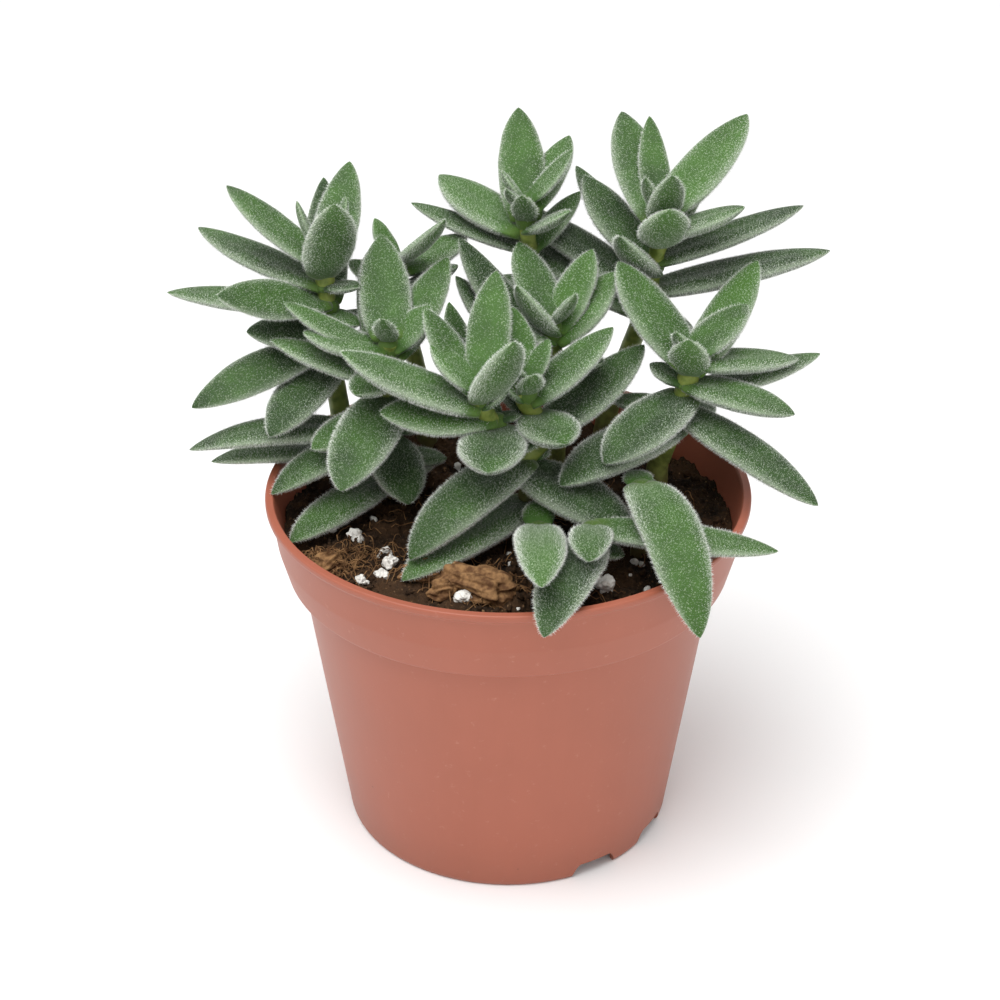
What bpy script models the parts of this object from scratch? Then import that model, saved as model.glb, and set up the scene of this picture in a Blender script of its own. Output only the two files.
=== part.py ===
# Potted succulent: a 9 cm nursery pot of potting soil with a clump of velvety,
# opposite-leaved shoots. Lengths are written in millimetres and scaled by MM.
# The origin is the middle of the whole plant's footprint, on the plane the pot
# stands on; +Z is up and the plant's front faces -Y. Everything is modelled
# round the pot's own axis and hangs on an empty there.
import math

import bmesh
import bpy
from mathutils import Vector

MM = 0.001
GAP = 0.3              # clearance between pieces that touch
POT_AXIS = (2.0, 1.0)  # the foliage leans off the pot's axis by this much

# ---- pot -------------------------------------------------------------------
POT_HEIGHT = 69.15
RIM_RADIUS = 45.0      # outside of the rolled lip
LIP_WIDTH = 1.7
COLLAR_TOP_RADIUS = 44.0
COLLAR_BOTTOM_RADIUS = 41.45
COLLAR_BOTTOM = 54.2   # height where the collar steps in to the body
BODY_TOP_RADIUS = 38.8
BASE_RADIUS = 31.0
WALL = 1.1
FLOOR_UNDERSIDE = 3.6
FLOOR_TOP = 4.8
POT_STEPS = 40
FOOT_NOTCH_HEIGHT = 3.1
FOOT_NOTCH_WIDTH = 9.4
FOOT_NOTCH_ANGLES = (32, 62, 212, 242)   # from the front towards +X
DRAIN_RADIUS = 2.6
DRAIN_RING_RADIUS = 20.0
DRAIN_COUNT = 5

# ---- soil ------------------------------------------------------------------
SOIL_TOP = 61.6
SOIL_EDGE_RADIUS = 41.2
SOIL_STEPS = 30

# ---- leaves ----------------------------------------------------------------
# one cross-section: flat upper face, sharp margins and a rounded keel below
SECTION = ((-1.0, 0.0), (-0.5, 0.33), (0.5, 0.33), (1.0, 0.0), (0.42, -0.6), (-0.42, -0.6))
# stations along a leaf: place, share of the width, share of the thickness
STATIONS = ((0.13, 0.80, 0.72), (0.40, 1.00, 1.00), (0.66, 0.88, 0.85), (0.88, 0.55, 0.52))
SMALL_STATIONS = ((0.20, 0.85, 0.80), (0.55, 1.00, 1.00), (0.84, 0.60, 0.60))
SMALL_LEAF = 18        # shorter leaves have the simpler outline
THICKNESS = 0.40       # of the width
SHEATH_WALL = 1.5      # how far the joined leaf bases stand out round the stem
SHEATH_HEIGHT = 2.2
WHORL_STEP = 1.9       # height between the crossed pairs of one node

# A leaf is (heading, rise at its base, rise at its tip, length, width, roll):
# degrees, heading 0 = +X and 270 = the front, rise above the horizon, mm.
# A node is (height on the stem, leaves), two leaves to a pair.
SHOOTS = {
    "left": {
        "stem": ((-30, 15.5, 52), (-31, 16, 70), (-33, 17, 86), (-34, 19, 105)),
        "radius": (2.4, 1.4),
        "nodes": (
            (86.0, ((240, -5, -25, 22, 10.5), (70, 5, -5, 11, 6))),
            (89.8, ((207, -5, -22, 29, 9, 25), (20, 5, -5, 12, 6))),
            (92.8, ((200, 3, 12, 16, 8.5, 20), (45, 5, 0, 10, 6))),
            (96.2, ((165, 5, -5, 32, 8.5), (320, 0, -5, 8, 5), (205, 15, 15, 22, 9, 35),
                   (94, 8, 56, 29, 8))),
            (101.2, ((145, 5, 10, 31, 8.5), (330, 15, 10, 8, 5))),
            (103.7, ((292, 60, 75, 18, 10), (80, 25, 35, 26, 8.5), (150, 25, 30, 24, 8),
                   (330, 45, 60, 9, 5), (190, 60, 75, 12, 5), (15, 60, 75, 12, 5))),
        ),
    },
    "back_left": {
        "stem": ((-15, 31, 52), (-17, 30, 75), (-20, 28, 92), (-21, 27, 102)),
        "radius": (2.2, 1.4),
        "nodes": (
            (96.5, ((150, 15, 15, 12, 7), (340, 26, 32, 13.5, 7.5))),
            (100.5, ((40, 5, 12, 17, 9), (230, 40, 50, 6, 4), (325, 40, 50, 16, 7),
                   (145, 50, 60, 9, 5))),
        ),
    },
    "centre_left": {
        "stem": ((-22.5, 11, 52), (-22.5, 10, 72), (-22, 6, 86), (-21.5, 3, 97)),
        "radius": (2.4, 1.4),
        "nodes": (
            (65.2, ((232, 5, -10, 28, 9.5), (40, 0, -5, 11, 6))),
            (69.9, ((180, 14, -18, 34, 9), (0, 0, -5, 11, 7))),
            (73.8, ((188, 22, -20, 38, 9.5), (285, -5, -30, 17, 10), (212, 2, -30, 26, 9.5),
                   (35, 0, -5, 11, 6))),
            (80.2, ((215, 0, -14, 17, 10.5), (30, 5, 0, 9, 6))),
            (84.8, ((252, -5, -25, 26, 12), (60, 0, -5, 11, 6))),
            (88.6, ((168, 15, 15, 23, 8), (330, 0, 0, 11, 6), (240, 0, 0, 11, 8.5),
                   (101, 25, 34, 27, 7.5))),
            (93.6, ((162, 20, 25, 22, 6.5), (60, 25, 35, 24, 8.5), (172, 5, 12, 16, 8.5),
                   (35, 30, 40, 11, 8), (95, 20, 30, 25, 9.5), (260, 50, 60, 8, 4.5))),
        ),
    },
    "front": {
        "stem": ((4.5, 0, 52), (4, 0, 70), (1, -3, 79), (-3, -6.5, 86), (-6, -9, 93)),
        "radius": (2.5, 1.4),
        "nodes": (
            (66.0, ((227, 5, -12, 34, 11), (40, 0, -5, 13, 8))),
            (73.9, ((321, -1, -24, 26, 13), (150, 0, -5, 14, 8), (226, 0, -34, 31, 12),
                    (50, 0, -5, 7, 5.5))),
            (84.6, ((265, 4, -2, 17, 12), (123, 30, 71, 25, 7), (184, 8, 3, 21, 10.5, 15),
                    (10, 5, 5, 4.5, 4))),
            (90.0, ((172, 15, 25, 27, 11), (350, 40, 50, 7, 5), (305, 50, 65, 18, 9.5),
                   (140, 40, 50, 19, 7.5), (80, 42, 52, 22, 8), (160, 30, 40, 12, 8))),
        ),
        "forks": ({
            "stem": ((2.2, -1.9, 75.6), (6.4, -1, 79.5), (4.5, -3, 86), (2, -4.5, 91.5)),
            "radius": (2.0, 1.4),
            "nodes": (
                (81.5, ((35, 20, 30, 26, 11), (215, -20, -30, 6, 5))),
                (85.6, ((295, 5, 0, 13, 11), (130, 18, 25, 11, 6))),
                (88.9, ((30, 25, 35, 21, 9), (190, 40, 50, 6, 4.5), (105, 45, 55, 16, 7),
                       (285, 45, 55, 8, 5), (50, 40, 50, 9, 4.5), (215, 55, 65, 6, 4))),
            ),
        },),
    },
    "centre": {
        "stem": ((9, 13, 52), (9, 13, 75), (8.5, 12, 88), (8, 11, 97)),
        "radius": (2.2, 1.4),
        "nodes": (
            (84.0, ((150, 32, 46, 27.5, 9), (300, -5, -10, 6, 5))),
            (90.0, ((140, 25, 50, 29, 9), (320, 15, 10, 12, 7))),
            (93.5, ((30, 33, 43, 17.5, 10), (200, 25, 30, 12, 7), (50, 43, 53, 17, 8),
                   (215, 50, 60, 14, 7.5), (110, 20, 30, 20, 8), (320, 50, 60, 9, 5))),
        ),
    },
    "back": {
        "stem": ((9, 32.5, 52), (9, 34, 75), (5, 32, 95), (3, 30, 110)),
        "radius": (2.3, 1.4),
        "nodes": (
            (96.0, ((345, 0, 0, 5, 4.5), (215, 12, 9, 13, 7))),
            (102.8, ((152, 10, 10, 26, 6.5), (45, 28, 30, 16, 6))),
            (107.2, ((135, 5, 15, 24, 11), (330, 30, 35, 11, 6), (95, 40, 50, 23, 9),
                   (260, 50, 60, 9, 5), (60, 25, 35, 19, 7.5), (225, 45, 55, 8, 4.5),
                   (20, 40, 50, 13, 5.5), (190, 50, 60, 8, 4.5))),
        ),
    },
    "right_back": {
        "stem": ((17, 29.5, 52), (20, 30, 72), (25, 26, 90), (28.5, 22.5, 111)),
        "radius": (2.4, 1.4),
        "nodes": (
            (92.5, ((147, 18, 15, 33, 10), (320, 0, -5, 12, 7))),
            (97.5, ((140, 15, 15, 33, 9.5), (5, 12, 10, 35, 10))),
            (101.8, ((222, 38, 58, 13, 9), (120, 18, 25, 30, 7), (132, 25, 37, 22, 10),
                    (18, 13, 14, 31, 8))),
            (108.2, ((278, 42, 58, 13.5, 9.5), (65, 15, 33, 25, 7), (345, 21, 26, 17, 8),
                    (95, 36, 46, 24, 6), (105, 21, 31, 28, 10), (290, 62, 75, 12, 7),
                    (48, 21, 30, 28, 10.5), (215, 60, 70, 9, 5))),
        ),
    },
    "right": {
        "stem": ((27, 7, 52), (28, 7, 70), (32, 5, 84), (33.5, 3, 94.5)),
        "radius": (2.5, 1.5),
        "nodes": (
            (78.8, ((220, 7, -18, 28, 12.5), (50, 0, -5, 13, 7))),
            (82.4, ((315, -5, -18, 34, 9.5), (165, 5, 0, 13, 7))),
            (85.6, ((228, -5, -20, 23, 12), (25, 5, 5, 29, 8))),
            (88.5, ((335, 0, -10, 21, 9.5), (150, 15, 15, 8, 6))),
            (91.0, ((55, 25, 35, 27, 9), (258, 55, 75, 9.5, 7.5), (135, 33, 43, 23.2, 11),
                   (20, -5, -10, 22, 8.5), (40, 17, 27, 15, 8.5), (225, 50, 60, 7, 5))),
        ),
    },
    "lower_right": {
        "stem": ((24, -11, 52), (24, -11.5, 62), (24, -12, 76.4)),
        "radius": (2.0, 1.5),
        "nodes": (
            (76.0, ((285, 18, -55, 38, 11), (100, 0, -10, 7, 5.5))),
        ),
    },
    "offset_left": {
        "stem": ((5.5, -13, 52), (5.5, -13.5, 62), (5.5, -14, 69)),
        "radius": (1.8, 1.4),
        "nodes": (
            (68.6, ((270, 26, 2, 35, 9), (90, 20, 10, 7, 6))),
        ),
    },
    "offset_right": {
        "stem": ((15, -20, 52), (15, -20.5, 62), (15, -21, 73.1)),
        "radius": (1.7, 1.3),
        "nodes": (
            (69.0, ((253, 20, -20, 32, 10), (345, -10, -15, 6, 5))),
            (72.8, ((349, 0, -4, 33, 9), (265, 25, -5, 17, 7.5))),
        ),
    },
}


def clear_scene():
    for ob in list(bpy.data.objects):
        bpy.data.objects.remove(ob, do_unlink=True)


def make_material(name, colour, roughness):
    mat = bpy.data.materials.new(name)
    mat.use_nodes = True
    shader = mat.node_tree.nodes["Principled BSDF"]
    shader.inputs["Base Color"].default_value = (*colour, 1.0)
    shader.inputs["Roughness"].default_value = roughness
    shader.inputs["Metallic"].default_value = 0.0
    return mat


def make_object(name, mesh, collection, material=None):
    ob = bpy.data.objects.new(name, mesh)
    collection.objects.link(ob)
    if material:
        mesh.materials.clear()
        mesh.materials.append(material)
    return ob


def make_cutter(name, mesh):
    ob = make_object(name, mesh, cutters)
    ob.hide_render = True
    ob.display_type = "WIRE"
    return ob


def bake(ob):
    """The object's evaluated shape as a plain mesh."""
    bpy.context.view_layer.update()
    graph = bpy.context.evaluated_depsgraph_get()
    return bpy.data.meshes.new_from_object(ob.evaluated_get(graph))


def boolean(ob, other, operation):
    mod = ob.modifiers.new(operation.title(), "BOOLEAN")
    mod.operation = operation
    mod.solver = "EXACT"
    mod.object = other


def turned(profile, steps):
    """A solid turned about Z from (radius, height) points, top to bottom."""
    mesh = bpy.data.meshes.new("profile")
    points = [(r * MM, 0.0, z * MM) for r, z in profile]
    mesh.from_pydata(points, [(i, i + 1) for i in range(len(points) - 1)], [])
    ob = make_cutter("turning", mesh)
    screw = ob.modifiers.new("Screw", "SCREW")
    screw.steps = steps
    screw.render_steps = steps
    screw.use_merge_vertices = True
    screw.merge_threshold = 0.00001
    solid = bake(ob)
    bpy.data.objects.remove(ob, do_unlink=True)
    bm = bmesh.new()
    bm.from_mesh(solid)
    bmesh.ops.remove_doubles(bm, verts=bm.verts, dist=0.00001)
    bmesh.ops.recalc_face_normals(bm, faces=bm.faces)
    bm.to_mesh(solid)
    bm.free()
    return solid


def stem_mesh(points, base_radius, top_radius, extra=0.0):
    """A tapering stem as a bevelled curve, turned into a mesh."""
    curve = bpy.data.curves.new("stem", "CURVE")
    curve.dimensions = "3D"
    curve.bevel_depth = MM
    curve.bevel_resolution = 2
    curve.use_fill_caps = True
    points = [Vector(p) for p in points]
    points[-1] = points[-1] + (points[-1] - points[-2]).normalized() * extra
    spline = curve.splines.new("POLY")
    spline.points.add(len(points) - 1)
    low, high = points[0].z, points[-1].z
    for place, point in zip(spline.points, points):
        share = (point.z - low) / (high - low)
        place.co = (*(point * MM), 1.0)
        place.radius = base_radius + (top_radius - base_radius) * share + extra
    ob = make_cutter("stem curve", curve)
    mesh = bake(ob)
    bpy.data.objects.remove(ob, do_unlink=True)
    bm = bmesh.new()
    bm.from_mesh(mesh)
    bmesh.ops.remove_doubles(bm, verts=bm.verts, dist=0.00001)
    bmesh.ops.recalc_face_normals(bm, faces=bm.faces)
    bm.to_mesh(mesh)
    bm.free()
    return mesh


def stem_point(points, height):
    """Where a stem's axis passes a height."""
    for low, high in zip(points, points[1:]):
        if height <= high[2] or high is points[-1]:
            share = (height - low[2]) / (high[2] - low[2])
            return Vector(low).lerp(Vector(high), share)


def stem_radius(shoot, height):
    points, (base, top) = shoot["stem"], shoot["radius"]
    share = (height - points[0][2]) / (points[-1][2] - points[0][2])
    return base + (top - base) * share


def leaf_directions(heading, rise):
    """Along, up and across vectors of a leaf that lies without roll."""
    h, r = math.radians(heading), math.radians(rise)
    along = Vector((math.cos(r) * math.cos(h), math.cos(r) * math.sin(h), math.sin(r)))
    up = Vector((-math.sin(r) * math.cos(h), -math.sin(r) * math.sin(h), math.cos(r)))
    return along, up, up.cross(along)


def leaf_mesh(root, leaf, base_width):
    """A closed leaf: sections lofted along an evenly curving spine."""
    heading, rise_base, rise_tip, length, width = leaf[:5]
    roll = math.radians(leaf[5]) if len(leaf) > 5 else 0.0
    thickness = width * THICKNESS
    steps = 24
    spine = [Vector(root)]
    for i in range(steps):
        rise = rise_base + (rise_tip - rise_base) * (i + 0.5) / steps
        spine.append(spine[-1] + leaf_directions(heading, rise)[0] * length / steps)
    bm = bmesh.new()
    rings = []
    stations = SMALL_STATIONS if length < SMALL_LEAF else STATIONS
    for place, wide, thick in ((0.0, base_width / width, 0.6),) + stations:
        i = min(int(place * steps), steps - 1)
        centre = spine[i].lerp(spine[i + 1], place * steps - i)
        along, up, across = leaf_directions(heading, rise_base + (rise_tip - rise_base) * place)
        if place == 0.0:
            centre = centre - along * 0.8
        turn = roll * min(1.0, place * 2.0)
        side = across * math.cos(turn) - up * math.sin(turn)
        top = up * math.cos(turn) + across * math.sin(turn)
        rings.append([bm.verts.new((centre + side * x * wide * width / 2
                                    + top * y * thick * thickness) * MM) for x, y in SECTION])
    tip = bm.verts.new(spine[-1] * MM)
    bm.faces.new(rings[0])
    for ring, after in zip(rings, rings[1:]):
        for i in range(len(SECTION)):
            j = (i + 1) % len(SECTION)
            bm.faces.new((ring[i], ring[j], after[j], after[i]))
    for i in range(len(SECTION)):
        bm.faces.new((rings[-1][i], rings[-1][(i + 1) % len(SECTION)], tip))
    bmesh.ops.triangulate(bm, faces=bm.faces)
    bmesh.ops.recalc_face_normals(bm, faces=bm.faces)
    mesh = bpy.data.meshes.new("leaf")
    bm.to_mesh(mesh)
    bm.free()
    return mesh


def sheath_mesh(centre, radius, height):
    """The short collar round the stem that joins a node's leaves."""
    bm = bmesh.new()
    bmesh.ops.create_cone(bm, cap_ends=True, segments=8, radius1=radius * MM,
                          radius2=radius * MM * 0.9, depth=height * MM)
    for vert in bm.verts:
        vert.co += Vector(centre) * MM
    mesh = bpy.data.meshes.new("sheath")
    bm.to_mesh(mesh)
    bm.free()
    return mesh


def leaf_node(name, shoot, node, stem_cutter, material):
    """One node of a shoot: its leaves, joined at their bases round the stem's hole."""
    height, leaves = node
    root = stem_point(shoot["stem"], height)
    wide = stem_radius(shoot, height) + SHEATH_WALL
    blades = [leaf_mesh(root + Vector((0, 0, WHORL_STEP * (i // 2))), leaf, 2 * wide)
              for i, leaf in enumerate(leaves)]
    whole = make_object(name, blades[0], plant, material)
    for blade in blades[1:]:
        boolean(whole, make_cutter(name + " leaf", blade), "UNION")
    rise = WHORL_STEP * (len(leaves) // 2 - 1)
    if rise:
        middle = root + Vector((0, 0, rise / 2))
        sheath = sheath_mesh(middle, wide, SHEATH_HEIGHT + rise)
        boolean(whole, make_cutter(name + " sheath", sheath), "UNION")
    boolean(whole, stem_cutter, "DIFFERENCE")
    finish(whole)
    return whole


def finish(ob):
    """Keeps the evaluated shape, welds its seams and shades it smooth."""
    mesh = bake(ob)
    bm = bmesh.new()
    bm.from_mesh(mesh)
    bmesh.ops.triangulate(bm, faces=bm.faces)
    bm.to_mesh(mesh)
    bm.free()
    ob.modifiers.clear()
    ob.data = mesh
    mesh.shade_smooth()
    mesh.set_sharp_from_angle(angle=math.radians(40))


def make_pot(material):
    inner_lip = RIM_RADIUS - LIP_WIDTH
    profile = ((inner_lip + 0.3, POT_HEIGHT), (RIM_RADIUS - 0.3, POT_HEIGHT),
               (RIM_RADIUS, POT_HEIGHT - 0.3), (RIM_RADIUS, POT_HEIGHT - 1.2),
               (COLLAR_TOP_RADIUS, POT_HEIGHT - 2.0),
               (COLLAR_BOTTOM_RADIUS, COLLAR_BOTTOM + 0.4),
               (COLLAR_BOTTOM_RADIUS - 0.5, COLLAR_BOTTOM),
               (BODY_TOP_RADIUS, COLLAR_BOTTOM - 0.4),
               (BASE_RADIUS, 0.8), (BASE_RADIUS - 0.5, 0.0),
               (BASE_RADIUS - WALL - 0.3, 0.0),
               (BASE_RADIUS - WALL, FLOOR_UNDERSIDE), (0.0, FLOOR_UNDERSIDE),
               (0.0, FLOOR_TOP), (BASE_RADIUS - WALL, FLOOR_TOP),
               (BODY_TOP_RADIUS - WALL, COLLAR_BOTTOM + 0.6),
               (COLLAR_BOTTOM_RADIUS - WALL, COLLAR_BOTTOM + 1.4),
               (COLLAR_TOP_RADIUS - WALL - 0.1, POT_HEIGHT - 2.2),
               (inner_lip, POT_HEIGHT - 0.3), (inner_lip + 0.3, POT_HEIGHT))
    pot = make_object("pot", turned(profile, POT_STEPS), plant, material)
    for angle in FOOT_NOTCH_ANGLES:
        bpy.ops.mesh.primitive_cube_add(size=1.0)
        notch = bpy.context.object
        notch.name = "foot notch"
        notch.scale = (FOOT_NOTCH_WIDTH * MM, 8 * MM, 2 * FOOT_NOTCH_HEIGHT * MM)
        turn = math.radians(angle)
        notch.location = (math.sin(turn) * BASE_RADIUS * MM, -math.cos(turn) * BASE_RADIUS * MM, 0)
        notch.rotation_euler = (0, 0, turn)
        to_cutters(notch, bevel=1.2)
        boolean(pot, notch, "DIFFERENCE")
    for i in range(DRAIN_COUNT):
        turn = math.tau * i / DRAIN_COUNT
        bpy.ops.mesh.primitive_cylinder_add(
            vertices=12, radius=DRAIN_RADIUS * MM, depth=6 * MM,
            location=(math.cos(turn) * DRAIN_RING_RADIUS * MM,
                      math.sin(turn) * DRAIN_RING_RADIUS * MM, FLOOR_UNDERSIDE * MM))
        drain = bpy.context.object
        drain.name = "drain hole"
        to_cutters(drain)
        boolean(pot, drain, "DIFFERENCE")
    finish(pot)


def to_cutters(ob, bevel=0.0):
    for collection in list(ob.users_collection):
        collection.objects.unlink(ob)
    cutters.objects.link(ob)
    ob.hide_render = True
    ob.display_type = "WIRE"
    bpy.context.view_layer.update()
    ob.data.transform(ob.matrix_basis)
    ob.matrix_basis.identity()
    if bevel:
        mod = ob.modifiers.new("Bevel", "BEVEL")
        mod.width = bevel * MM
        mod.segments = 1


def make_soil(material, stem_cutters):
    rings = (0.0, 9.0, 20.0, 31.2, 39.2)
    profile = [(r, SOIL_TOP) for r in rings]
    profile += [(SOIL_EDGE_RADIUS, SOIL_TOP - 0.8),
                (COLLAR_BOTTOM_RADIUS - WALL - GAP, COLLAR_BOTTOM + 1.9),
                (BODY_TOP_RADIUS - WALL - GAP, COLLAR_BOTTOM + 1.0),
                (BASE_RADIUS - WALL - GAP, FLOOR_TOP + GAP), (0.0, FLOOR_TOP + GAP)]
    mesh = turned(profile, SOIL_STEPS)
    for vert in mesh.vertices:
        x, y, z = (c / MM for c in vert.co)
        if z > SOIL_TOP - 0.1:
            lump = (0.5 * math.sin(x * 0.31 + 1.1) * math.cos(y * 0.27)
                    + 0.35 * math.sin(x * 0.53 - y * 0.47) + 0.2 * math.cos(y * 0.9 + x * 0.2))
            vert.co.z += lump * MM
    soil = make_object("soil", mesh, plant, material)
    for cutter in stem_cutters:
        boolean(soil, cutter, "DIFFERENCE")
    finish(soil)


def make_shoot(name, shoot, leaf_material, stem_material):
    """One shoot: its stem, with any fork, and the leaf nodes up it."""
    branches = [shoot, *shoot.get("forks", ())]
    stem = make_object("stem_" + name, stem_mesh(shoot["stem"], *shoot["radius"]),
                       plant, stem_material)
    cutter = make_cutter("socket " + name, stem_mesh(shoot["stem"], *shoot["radius"], GAP))
    for branch in branches[1:]:
        boolean(stem, make_cutter("fork", stem_mesh(branch["stem"], *branch["radius"])), "UNION")
        boolean(cutter, make_cutter("fork socket",
                                    stem_mesh(branch["stem"], *branch["radius"], GAP)), "UNION")
    finish(stem)
    for k, branch in enumerate(branches):
        label = name if k == 0 else name + "_fork"
        for i, node in enumerate(branch["nodes"]):
            last = i == len(branch["nodes"]) - 1 and len(node[1]) > 2
            part = "tip" if last else "leaves_%d" % (i + 1)
            leaf_node(label + "_" + part, branch, node, cutter, leaf_material)
    return cutter


clear_scene()
plant = bpy.data.collections.new("potted_succulent")
cutters = bpy.data.collections.new("cutters")
bpy.context.scene.collection.children.link(plant)
bpy.context.scene.collection.children.link(cutters)

make_pot(make_material("terracotta plastic", (0.42, 0.16, 0.10), 0.45))
sockets = [make_shoot(name, shoot, make_material("leaf " + name, (0.10, 0.17, 0.07), 0.75),
                      make_material("stem " + name, (0.30, 0.38, 0.10), 0.6))
           for name, shoot in SHOOTS.items()]
make_soil(make_material("potting soil", (0.06, 0.035, 0.02), 0.95), sockets)

axis = make_object("pot axis", None, plant)
axis.location = (POT_AXIS[0] * MM, POT_AXIS[1] * MM, 0.0)
for piece in plant.objects:
    if piece != axis:
        piece.parent = axis
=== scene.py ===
import math
import random

import bmesh
import bpy
from mathutils import Matrix, Vector, noise


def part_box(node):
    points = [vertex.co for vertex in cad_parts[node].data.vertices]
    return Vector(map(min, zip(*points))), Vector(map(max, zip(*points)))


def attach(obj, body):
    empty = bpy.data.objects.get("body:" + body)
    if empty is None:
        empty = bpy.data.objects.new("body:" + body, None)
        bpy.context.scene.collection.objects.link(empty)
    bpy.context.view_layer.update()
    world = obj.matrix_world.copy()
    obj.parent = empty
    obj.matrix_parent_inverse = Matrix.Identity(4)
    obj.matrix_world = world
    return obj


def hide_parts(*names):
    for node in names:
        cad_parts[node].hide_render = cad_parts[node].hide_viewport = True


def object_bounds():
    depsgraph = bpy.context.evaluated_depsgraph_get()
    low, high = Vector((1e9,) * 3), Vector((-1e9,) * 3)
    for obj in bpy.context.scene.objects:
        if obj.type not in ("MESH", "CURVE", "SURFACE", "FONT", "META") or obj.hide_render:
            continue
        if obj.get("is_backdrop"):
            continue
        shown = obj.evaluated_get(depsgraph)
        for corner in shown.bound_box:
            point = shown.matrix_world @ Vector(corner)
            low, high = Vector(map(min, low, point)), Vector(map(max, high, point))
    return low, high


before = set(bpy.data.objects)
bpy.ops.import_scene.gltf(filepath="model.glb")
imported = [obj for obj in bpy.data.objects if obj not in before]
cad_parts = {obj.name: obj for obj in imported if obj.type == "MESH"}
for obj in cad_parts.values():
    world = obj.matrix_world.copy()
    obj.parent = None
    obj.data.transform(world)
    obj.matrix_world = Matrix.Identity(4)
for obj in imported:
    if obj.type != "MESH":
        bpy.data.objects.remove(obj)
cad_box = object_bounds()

MM = 0.001
scene = bpy.context.scene
scene.view_settings.view_transform = "Standard"

# ---- pot ---------------------------------------------------------------------
# An injection-moulded nursery pot of thin terracotta-coloured polypropylene:
# rolled lip, broad collar, tapered body and a foot ring notched for drainage.
POT_AXIS = Vector((2.0, 1.0, 0.0)) * MM      # the foliage leans off the pot's axis
rim, height = 45.0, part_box("pot")[1].z / MM
foot = 31.0                                  # outside radius of the foot ring
floor_under, floor_top = 3.6, 4.8
corner_radius = 0.45
notch_angles, notch_half_width, notch_height = (32, 62, 212, 242), 4.7, 3.0
drain_count, drain_radius, drain_ring = 5, 2.6, 20
outline = [(rim - 1.4, height), (rim - 0.2, height), (rim, height - 0.3), (rim, height - 1.2),
           (44.0, height - 2.0), (43.05, 60.5), (41.45, 54.7), (41.1, 54.2), (38.85, 53.85),
           (foot, 0.9), (foot - 0.5, 0.0), (29.6, 0.0), (29.9, floor_under), (0.0, floor_under),
           (0.0, floor_top), (29.9, floor_top), (37.7, 54.8), (40.35, 55.6), (42.8, 66.9),
           (rim - 1.7, height - 0.4), (rim - 1.4, height)]


def rounded(profile, radius):
    """The same outline with each corner rounded by up to the given radius."""
    points = [profile[0]]
    for before, corner, after in zip(profile, profile[1:], profile[2:]):
        a, b, c = Vector(before), Vector(corner), Vector(after)
        cut = min(radius, (b - a).length * 0.45, (c - b).length * 0.45)
        start, end = b + (a - b).normalized() * cut, b + (c - b).normalized() * cut
        for k in range(5):
            t = k / 4
            points.append(tuple(start * (1 - t) ** 2 + b * 2 * t * (1 - t) + end * t ** 2))
    return points + [profile[-1]]


def working(name, mesh):
    """An object in the scene to put modifiers on."""
    ob = bpy.data.objects.new(name, mesh)
    scene.collection.objects.link(ob)
    return ob


def as_mesh(ob):
    """The evaluated shape of a working object, which is then removed."""
    bpy.context.view_layer.update()
    graph = bpy.context.evaluated_depsgraph_get()
    mesh = bpy.data.meshes.new_from_object(ob.evaluated_get(graph))
    mesh.transform(ob.matrix_world)
    bpy.data.objects.remove(ob, do_unlink=True)
    return mesh


def to_mesh(bm, name, shift=Vector((0.0, 0.0, 0.0))):
    """A mesh of what was built, moved to its place, and the builder freed."""
    mesh = bpy.data.meshes.new(name)
    bm.to_mesh(mesh)
    bm.free()
    mesh.transform(Matrix.Translation(shift))
    return mesh


def turned(profile, steps):
    """A mesh turned about the pot's axis from (radius, height) points in millimetres."""
    mesh = bpy.data.meshes.new("profile")
    mesh.from_pydata([(r * MM, 0, z * MM) for r, z in profile],
                     [(i, i + 1) for i in range(len(profile) - 1)], [])
    ob = working("turning", mesh)
    screw = ob.modifiers.new("Screw", "SCREW")
    screw.steps = screw.render_steps = steps
    screw.use_merge_vertices = True
    screw.merge_threshold = 0.00001
    solid = as_mesh(ob)
    bm = bmesh.new()
    bm.from_mesh(solid)
    bmesh.ops.remove_doubles(bm, verts=bm.verts, dist=0.00001)
    bmesh.ops.recalc_face_normals(bm, faces=bm.faces)
    bm.to_mesh(solid)
    bm.free()
    return solid


mesh = turned(rounded(outline, corner_radius), 192)
for vert in mesh.vertices:                      # thin plastic is never quite round
    turn = math.atan2(vert.co.y, vert.co.x)
    warp = 0.10 * math.sin(2 * turn + 0.7) - 0.06 * math.sin(3 * turn)
    share = max(0.0, vert.co.z / MM - 20) / 50
    reach = Vector((vert.co.x, vert.co.y)).length
    if reach > 0.02:
        vert.co.xy *= 1 + (warp - 0.16) * share * MM / reach
pot = working("pot shell", mesh)
for angle in notch_angles:                      # from the front towards +X
    turn = math.radians(angle)
    bm = bmesh.new()
    bmesh.ops.create_cone(bm, cap_ends=True, segments=40, depth=8 * MM,
                          radius1=notch_half_width * MM, radius2=notch_half_width * MM)
    bmesh.ops.scale(bm, vec=(1.0, 0.66, 1.0), verts=bm.verts)
    bmesh.ops.rotate(bm, cent=(0, 0, 0), matrix=Matrix.Rotation(math.pi / 2, 3, "X"),
                     verts=bm.verts)
    for vert in bm.verts:                        # a flat-topped arch
        vert.co.z = min(vert.co.z * 1.4, notch_height * MM)
    bmesh.ops.rotate(bm, cent=(0, 0, 0), matrix=Matrix.Rotation(turn, 3, "Z"), verts=bm.verts)
    bmesh.ops.translate(bm, vec=Vector((math.sin(turn), -math.cos(turn), 0)) * foot * MM,
                        verts=bm.verts)
    cut = pot.modifiers.new("Notch", "BOOLEAN")
    cut.operation = "DIFFERENCE"
    cut.object = working("foot notch", to_mesh(bm, "foot notch"))
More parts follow.
